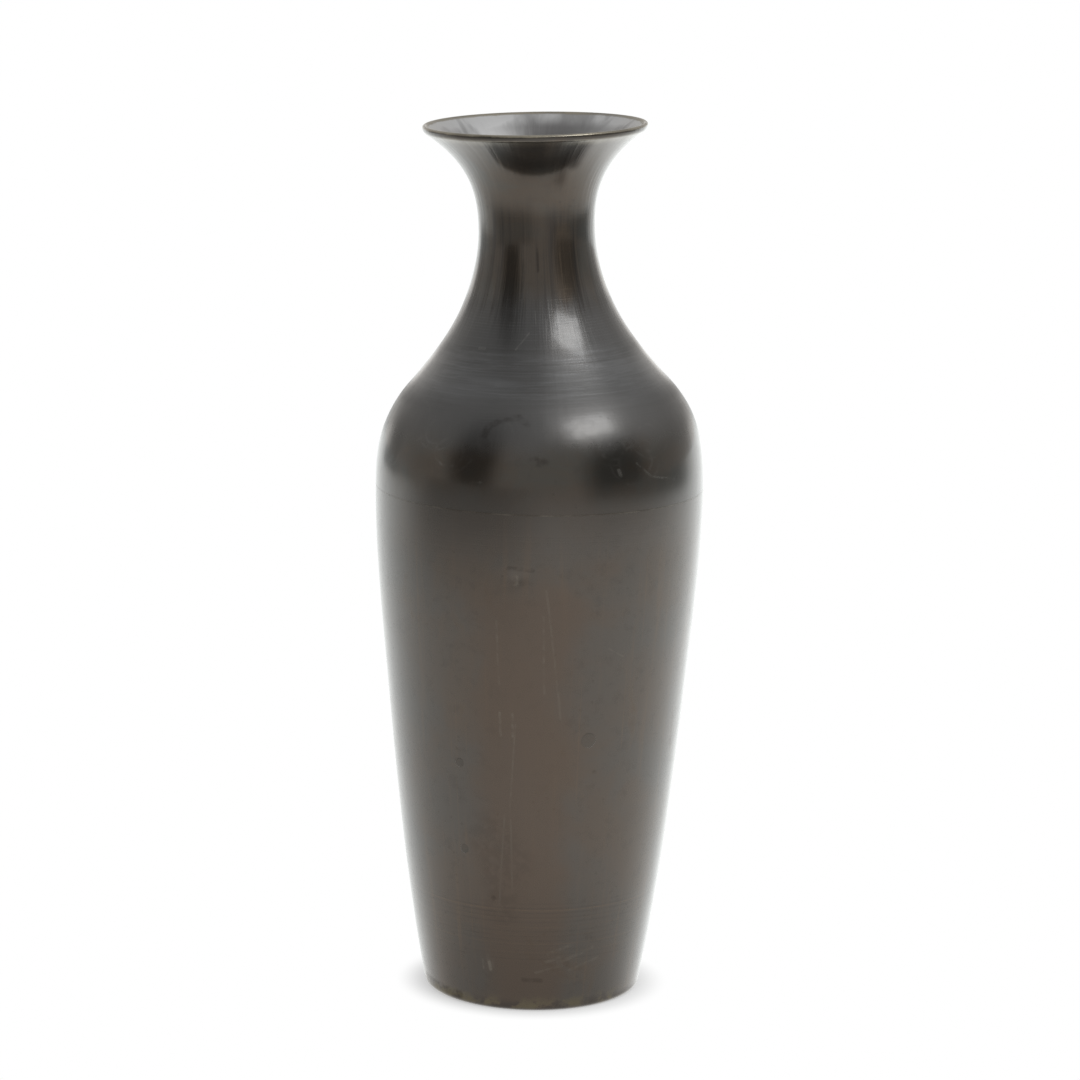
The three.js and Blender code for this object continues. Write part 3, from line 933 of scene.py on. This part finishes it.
def roundBar(name, rings, origin, right, up, out):
    # closed bar from rings of (radius, depth), domed by the skin's own curve
    sides = plugFit["sides"]
    verts, faces = [], []
    for radius, depth in rings:
        for i in range(sides):
            a = 2 * math.pi * i / sides
            sag = (radius * math.cos(a)) ** 2 / (2 * plugFit["skinRadius"])
            verts.append(origin + right * radius * math.cos(a) + up * radius * math.sin(a) + out * (depth - sag))
    for j in range(len(rings) - 1):
        for i in range(sides):
            k = (i + 1) % sides
            faces.append((j * sides + i, j * sides + k, (j + 1) * sides + k, (j + 1) * sides + i))
    first, end = len(verts), (len(rings) - 1) * sides
    verts += [origin + out * rings[0][1], origin + out * rings[-1][1]]
    faces += [(first, (i + 1) % sides, i) for i in range(sides)]
    faces += [(first + 1, end + i, end + (i + 1) % sides) for i in range(sides)]
    mesh = bpy.data.meshes.new(name)
    mesh.from_pydata(verts, [], faces)
    faceOutwards(mesh)
    return addObject(name, mesh)


def drillPlugHoles(thing):
    for plug in plugs.values():
        radius = plug["diameter"] / 2 + plugFit["gap"]
        drill = roundBar("drill", [(radius, depth) for depth in plugFit["drill"]], *plugFrame(plug))
        cut = thing.modifiers.new("hole", "BOOLEAN")
        cut.operation, cut.solver, cut.object = "DIFFERENCE", "EXACT", drill
        plainMesh(thing)
        bpy.data.objects.remove(drill)


def renewAttributes(mesh):
    # the drilled rims get their place on the skin again
    co = coordinates(mesh)
    radius = axisDistance(co)
    turned = np.stack([co[:, 0] / radius, -co[:, 1] / radius, co[:, 2]], 1)
    mesh.attributes["turned"].data.foreach_set("vector", turned.ravel())
    levels = np.clip(co[:, 2], *lowerShape["skinHeights"])
    under = np.array([outlineAt(z)[0] - lowerShape["skinDepth"] for z in levels])
    mesh.attributes["skin"].data.foreach_set("value", (radius > under).astype(float))


def buildLower():
    thing = turnPiece("lowerCasting", lowerProfile(), lowerMaterial(), {**lowerShape, **skinWobble})
    pressDents(thing.data)
    for plug in plugs.values():
        plug["sunk"] = sinkOfSkin(thing, plug)
    drillPlugHoles(thing)
    renewAttributes(thing.data)
    shadeSmooth(thing.data)
    finishPiece(thing, "lower_body")


buildLower()


# Upper casting

upperShape = {
    "step": 0.0011,
    "innerStep": 0.0030,
    "lipSteps": 12,
    "lineBand": (0.2065, 0.2295, 0.00024),
    "Line Depth": 0.000004,
    "Line Pitch": 0.0021,
    "Line Width": 0.0008,
    "Line Low": 0.2065,
    "Line High": 0.2295,
    "Lean": crook["tilt"],
    "Lean Start": crook["start"],
    "Lean Rise": crook["rise"],
}


def upperProfile():
    seamHeight, seamRadius, _ = stations["seam"]
    low, high, breakEdge = castings["brazeHigh"], flareEnd[0], castings["edgeBreak"]
    spigot, end, bore = castings["spigotRadius"], castings["spigotEnd"], seamRadius - castings["wall"]
    soft, edge = castings["softEdge"], castings["spigotEdge"]
    lean, rim = math.degrees(lipLean), lip["height"]
    return [
        (spigot, low, 0), (seamRadius - breakEdge, low, 1),
        *onSkin(heights(low + breakEdge, high, upperShape["step"], upperShape["lineBand"])),
        *corner((lip["radius"] - lip["round"], rim), lip["round"], -lean, 0)[1:],
        *corner((lip["radius"] - lip["edge"], rim), lip["edge"], 0, 180 - lean, upperShape["lipSteps"])[1:],
        *onInside(heights(seamHeight, high, upperShape["innerStep"])),
        (bore, end + soft, 0), (bore + soft, end, 0),
        (spigot - edge, end, 0), (spigot, end + edge, 0), (spigot, low, 0),
    ]


def buildUpper():
    thing = turnPiece("upperCasting", upperProfile(), upperMaterial(), {**upperShape, **skinWobble})
    finishPiece(thing, "upper_body")


buildUpper()


# Braze ring, filed flush with both castings

brazeShape = {"steps": 6, "crown": 0.000004}   # the face is a little proud at its middle
brazeFinish = {"light": (0.100, 0.088, 0.074, 1), "dull": (0.062, 0.052, 0.042, 1), "wax": 0.9, "bump": 0.00001}


def brazeMaterial():
    fin = brazeFinish
    material, n, shader = startMaterial(
        "brazeLine", Metallic=1.0, Coat_Roughness=0.16, Coat_IOR=1.5, Coat_Weight=fin["wax"])
    patches = n.streaks(n.attribute("turned", "Vector"), (7, 7, 300), 4)
    beads = n.noise(n.objectPlace(), 600, 4, 0.6)
    colour = n.blend(n.spread(patches, 0.42, 0.6), fin["dull"], fin["light"])
    n.dress(shader, fin["bump"], n.plus(beads, patches), {
        "Base Color": n.blend(n.spread(beads, 0.55, 0.75, 0, 0.4), colour, fin["dull"]),
        "Roughness": n.spread(beads, 0.3, 0.7, 0.2, 0.4),
    })
    return material


def buildBraze():
    low, high = castings["brazeLow"], castings["brazeHigh"]
    outer, inner = stations["seam"][1], castings["socketRadius"]
    steps, crown = brazeShape["steps"], brazeShape["crown"]
    face = [(outer - crown * abs(2 * i / steps - 1), low + (high - low) * i / steps, 1) for i in range(steps + 1)]
    profile = [(inner, low, 0), *face, (inner, high, 0), (inner, low, 0)]
    thing = turnPiece("brazeRing", profile, brazeMaterial(), skinWobble)
    finishPiece(thing, "seam_braze")


buildBraze()


# Base plate: turned disc with lathe rings and a centre mark, seen from below

plateShape = {
    "Around": 192,
    "ringPitch": 0.00125,
    "ringDepth": 0.00007,
    "ringFade": 0.002,
    "centreRadius": 0.0011,
    "centreDepth": 0.0006,
    "edge": 0.0004,
    "step": 0.0003,
}
plateFinish = {
    "base": (0.155, 0.110, 0.060, 1),
    "dark": (0.055, 0.042, 0.028, 1),
    "green": (0.070, 0.085, 0.060, 1),
    "ringScale": 2600,
    "rimStain": (0.026, 0.032),   # distances from the middle
    "bump": 0.00006,
}


def plateMaterial():
    fin = plateFinish
    material, n, shader = startMaterial("plateBronze", Metallic=1.0, Coat_Roughness=0.3, Coat_IOR=1.5)
    spot = n.objectPlace()
    reach = n.length(*n.separate(spot)[:2])
    rings = n.noise(n.combine(n.times(reach, fin["ringScale"]), 0.0, 0.0), 1, 4, 0.65)
    cloud = n.noise(spot, 75, 5, 0.6, 0.6)
    stain = n.noise(spot, 260, 5, 0.65)
    rimStain = n.times(n.spread(reach, *fin["rimStain"]), n.spread(stain, 0.42, 0.62))
    colour = n.layers(
        fin["base"],
        (n.spread(cloud, 0.36, 0.72), 0.45, fin["dark"]),
        (n.spread(rings, 0.42, 0.7, 0, 0.55), 1, fin["dark"]),
        (rimStain, 0.7, fin["green"]))
    n.dress(shader, fin["bump"], n.plus(n.times(rings, 0.7), n.times(stain, 0.4)), {
        "Base Color": colour,
        "Roughness": n.spread(cloud, 0.35, 0.7, 0.32, 0.55),
        "Coat Weight": n.spread(cloud, 0.4, 0.7, 0.25, 0.0),
    })
    return material


def plateHeight(r):
    # a cone in the middle, and rings cut by the lathe further out
    cone = plateShape["centreDepth"] * max(0, 1 - r / plateShape["centreRadius"])
    ring = plateShape["ringDepth"] * (0.5 - 0.5 * math.cos(2 * math.pi * r / plateShape["ringPitch"])) ** 3
    fade = min(1, max(0, (r - plateShape["ringFade"]) / plateShape["ringFade"]))
    return max(cone, ring * fade)


def buildPlate():
    low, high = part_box("base_plate")
    edge, radius = plateShape["edge"], high.x
    steps = int((radius - edge) / plateShape["step"])
    profile = [(0, low.z + plateShape["centreDepth"], 1)]
    for r in ((radius - edge) * i / steps for i in range(1, steps + 1)):
        profile.append((r, low.z + plateHeight(r), 1))
    profile += [(radius, low.z + edge, 1), (radius, high.z - edge, 0), (radius - edge, high.z, 0)]
    profile += [(radius * share, high.z, 0) for share in (0.66, 0.33, 0)]
    thing = turnPiece("footPlate", profile, plateMaterial(), plateShape)
    finishPiece(thing, "base_plate", 25)


buildPlate()


# Solder fillet round the plate, wiped by hand

solderShape = {"leg": 0.0020, "Wobble": 0.00016, "Wobble Scale": 240.0, "Seed": 6.0}
solderFinish = {
    "light": (0.24, 0.235, 0.22, 1), "dull": (0.11, 0.105, 0.09, 1), "dark": (0.05, 0.045, 0.04, 1), "bump": 0.00012}


def solderMaterial():
    fin = solderFinish
    material, n, shader = startMaterial("solderGrey", Metallic=1.0)
    spot = n.objectPlace()
    cloud = n.noise(spot, 190, 5, 0.6, 0.4)
    grit = n.noise(spot, 900, 4, 0.65)
    colour = n.blend(n.spread(cloud, 0.4, 0.65), fin["light"], fin["dull"])
    n.dress(shader, fin["bump"], n.plus(cloud, n.times(grit, 0.5)), {
        "Base Color": n.blend(n.spread(grit, 0.6, 0.75, 0, 0.6), colour, fin["dark"]),
        "Roughness": n.spread(cloud, 0.3, 0.7, 0.33, 0.58),
    })
    return material


def buildSolder():
    low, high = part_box("base_solder")
    bore, leg = high.x, solderShape["leg"]
    profile = [(bore, high.z, 1), *corner((bore - leg, low.z), leg, 90, 0), (bore, high.z, 1)]
    thing = turnPiece("solderFillet", profile, solderMaterial(), solderShape)
    # the bore holds the fillet in, so nothing of it reaches past
    drawIn(thing.data, np.minimum(1, bore / axisDistance(coordinates(thing.data))))
    finishPiece(thing, "base_solder")


buildSolder()


# Core plugs, filed to the skin

plugFinish = {
    "dark": ((0.040, 0.036, 0.030, 1), (0.058, 0.050, 0.042, 1)),
    "pale": ((0.060, 0.051, 0.042, 1), (0.070, 0.059, 0.048, 1)),
    "filed": (0.10, 0.08, 0.06, 1),
    "bump": 0.000012,
}


def plugMaterial():
    fin = plugFinish
    material, n, shader = startMaterial("plugBronze", Metallic=1.0, Coat_Roughness=0.16, Coat_IOR=1.5)
    spot = n.objectPlace()
    cloud = n.noise(spot, 420, 5, 0.6)
    file = n.streaks(spot, (900, 900, 7000))
    cloudy = n.spread(cloud, 0.4, 0.65)
    colour = n.blend(n.attribute("blend", "Fac"), n.blend(cloudy, *fin["dark"]), n.blend(cloudy, *fin["pale"]))
    n.dress(shader, fin["bump"], n.plus(cloud, n.times(file, 0.6)), {
        "Base Color": n.blend(n.spread(file, 0.6, 0.8, 0, 0.25), colour, fin["filed"]),
        "Roughness": n.spread(cloud, 0.3, 0.7, 0.24, 0.32),
        "Coat Weight": n.spread(cloud, 0.4, 0.7, 0.95, 0.75),
    })
    return material


def buildPlugs():
    material = plugMaterial()
    small, wide = plugFit["faceEdge"]
    length, backEdge = plugFit["length"], plugFit["backEdge"]
    for node, plug in plugs.items():
        radius, proud = plug["diameter"] / 2, plug["proud"]
        rings = [
            (radius * 0.35, proud), (radius * 0.7, proud), (radius - wide, proud), (radius - small, proud - small),
            (radius, proud - wide), (radius, -length), (radius - backEdge, -length - backEdge),
            (radius * 0.5, -length - backEdge)]
        thing = roundBar(plug["piece"], rings, *plugFrame(plug))
        thing.data.materials.append(material)
        blend = thing.data.attributes.new("blend", "FLOAT", "POINT")
        blend.data.foreach_set("value", [plug["blend"]] * len(thing.data.vertices))
        shadeSmooth(thing.data)
        finishPiece(thing, node, 50)


buildPlugs()


# Floor, background and studio lights

studio = {
    "aim": (0, 0, 0.16),
    "floorReach": 7.0,
    "floorDrop": 0.00002,
    "floorSides": 64,
    "paper": (0.80, 0.80, 0.795, 1),
    "contact": (0.0345, 0.048, 0.45),  # from the foot outwards the seen floor goes from shadowed paper to white
    "softbox": {"angle": 47, "lift": 48, "away": 1.5, "width": 0.80, "height": 0.44, "tone": 5.1},
    "boxColour": (0.98, 0.99, 1.0),
    "white": (1, 1, 1, 1),
    "lowColour": (1.03, 1.0, 0.96, 1),
    "highColour": (0.98, 0.99, 1.0, 1),
    "tintLift": (8, 45),
    "room": 0.62,
    "patchCore": 0.35,   # of a patch's reach, where it is at its full tone
    # soft patches of the room: angle and lift of the middle, reach of both, tone
    "roomPatches": [
        (110, 5, 48, 14, 0.47),
        (-105, 6, 40, 12, 0.53),
        (66, 66, 80, 30, 1.12),
        (100, 36, 34, 20, 0.86),
        (-50, 18, 27, 50, 0.16),
        (57, 6, 35, 36, 0.20),
        (-131, 3, 17, 15, 0.36),
    ],
    "backTone": 1.05,
    "backTurn": (132, 150),
    "backLift": (2, 9),
    "frontFloor": (1.0, 0.965, 0.925, 1),
    "sideFloor": (0.98, 1.0, 0.99, 1),
    "sideTurn": (30, 120),
    "sideTone": 0.12,
    "leftToRight": (-100, 100, 0.92, 1.12),
    # painted shadow of the vase on the floor, for reflections: from and to distance, and how much darker at each
    "paintedFootShadow": (0.038, 0.16, 0.28, 0.0),
    # the floor as reflections see it: angle of the middle, reach, from and to distance, tone
    "floorPatches": [
        (0, 120, 0.50, 0.95, 0.66),
        (-50, 62, 0.34, 0.90, 0.41),
        (54, 30, 1.00, 1.80, 0.32),
        (95, 45, 0.85, 1.50, 0.38),
        (-110, 32, 1.20, 2.20, 0.55),
        (-131, 18, 1.20, 2.00, 0.42),
    ],
}


def directionTo(angle, lift):
    a, e = math.radians(angle), math.radians(lift)
    return Vector((math.sin(a) * math.cos(e), -math.cos(a) * math.cos(e), math.sin(e)))


def addSoftbox():
    box = studio["softbox"]
    data = bpy.data.lights.new("softbox", "AREA")
    data.shape = "RECTANGLE"
    data.size, data.size_y = box["width"], box["height"]
    data.energy = box["tone"] * math.pi * box["width"] * box["height"]
    data.color = studio["boxColour"]
    way = directionTo(box["angle"], box["lift"])
    turn = way.to_track_quat("Z", "Y").to_matrix().to_4x4()
    addObject("softbox", data).matrix_world = Matrix.Translation(Vector(studio["aim"]) + way * box["away"]) @ turn


def angleAndReach(n, vector):
    # angle round the vase in degrees from the camera's side, distance from its axis, and height
    x, y, z = n.separate(vector)
    return n.calc("DEGREES", n.calc("ARCTAN2", x, n.times(y, -1.0))), n.length(x, y), z


def softPatch(n, value, mask, tone):
    return n.plus(value, n.times(n.minus(tone, value), mask))


def floorMaterial():
    material = bpy.data.materials.new("studioFloor")
    material.use_nodes = True
    material.node_tree.nodes.clear()
    n, core = nodeSheet(material.node_tree), studio["patchCore"]
    angle, reach, _ = angleAndReach(n, n.objectPlace())
    seen = n.place("ShaderNodeLightPath").outputs
    glossy = seen["Is Glossy Ray"]
    low, high, least = studio["contact"]
    direct = n.most(seen["Is Camera Ray"], seen["Is Transmission Ray"])
    direct = n.times(direct, n.spread(reach, low, high, least, 1.0))
    # in reflections the floor is paler to the right and behind, and falls off where the room's dark side is
    side = n.spread(n.calc("ABSOLUTE", angle), *studio["sideTurn"])
    tone = n.plus(n.spread(angle, *studio["leftToRight"]), n.times(side, studio["sideTone"]))
    for middle, width, start, end, dim in studio["floorPatches"]:
        apart = n.calc("ABSOLUTE", n.minus(angle, middle))
        mask = n.times(n.spread(apart, width * core, width, 1.0, 0.0), n.spread(reach, start, end))
        tone = softPatch(n, tone, mask, dim)
    # painted shadow of the vase round its foot, in the floor as reflections see it, less round the sides
    near = n.times(n.spread(reach, *studio["paintedFootShadow"]), n.minus(1.0, side))
    tone = n.times(tone, n.minus(1.0, near))
    tint = n.blend(side, studio["frontFloor"], studio["sideFloor"])
    paper = n.fill(n.place("ShaderNodeBsdfDiffuse"), {"Color": studio["paper"]})
    bright = n.fill(n.place("ShaderNodeEmission"), {
        "Color": n.blend(glossy, studio["white"], tint), "Strength": softPatch(n, 1.0, glossy, tone)})
    mix = n.fill(n.place("ShaderNodeMixShader"), {0: n.most(direct, glossy), 1: paper[0], 2: bright[0]})
    n.fill(n.place("ShaderNodeOutputMaterial"), {"Surface": mix[0]})
    return material


def addFloor():
    reach, sides = studio["floorReach"], studio["floorSides"]
    angles = np.linspace(0, 2 * math.pi, sides, endpoint=False)
    mesh = bpy.data.meshes.new("studioFloor")
    verts = [(reach * math.cos(a), reach * math.sin(a), -studio["floorDrop"]) for a in angles]
    mesh.from_pydata(verts, [], [tuple(range(sides))])
    mesh.materials.append(floorMaterial())
    thing = addObject("studioFloor", mesh)


def setWorld():
    # a plain room, darker at the front left and right, paler above on the right and low at the back
    world = bpy.data.worlds.new("studioRoom")
    bpy.context.scene.world = world
    world.use_nodes = True
    world.node_tree.nodes.clear()
    n, core = nodeSheet(world.node_tree), studio["patchCore"]
    angle, _, z = angleAndReach(n, n.place("ShaderNodeTexCoord").outputs["Generated"])
    lift = n.calc("DEGREES", n.calc("ARCSINE", z))
    tone = studio["room"]
    for middle, height, wide, tall, dim in studio["roomPatches"]:
        apart = n.length(n.over(n.minus(angle, middle), wide), n.over(n.minus(lift, height), tall))
        tone = softPatch(n, tone, n.spread(apart, core, 1.0, 1.0, 0.0), dim)
    back = n.times(
        n.spread(n.calc("ABSOLUTE", angle), *studio["backTurn"]), n.spread(lift, *studio["backLift"], 1.0, 0.0))
    tone = softPatch(n, tone, back, studio["backTone"])
    camera = n.place("ShaderNodeLightPath").outputs["Is Camera Ray"]
    tint = n.blend(n.spread(lift, *studio["tintLift"]), studio["lowColour"], studio["highColour"])
    room = n.fill(n.place("ShaderNodeBackground"), {
        "Color": n.blend(camera, tint, studio["white"]), "Strength": softPatch(n, tone, camera, 1.0)})
    n.fill(n.place("ShaderNodeOutputWorld"), {"Surface": room[0]})


addFloor()
setWorld()
addSoftbox()
print("studio set")

view = bpy.context.scene.view_settings
view.view_transform = "Standard"
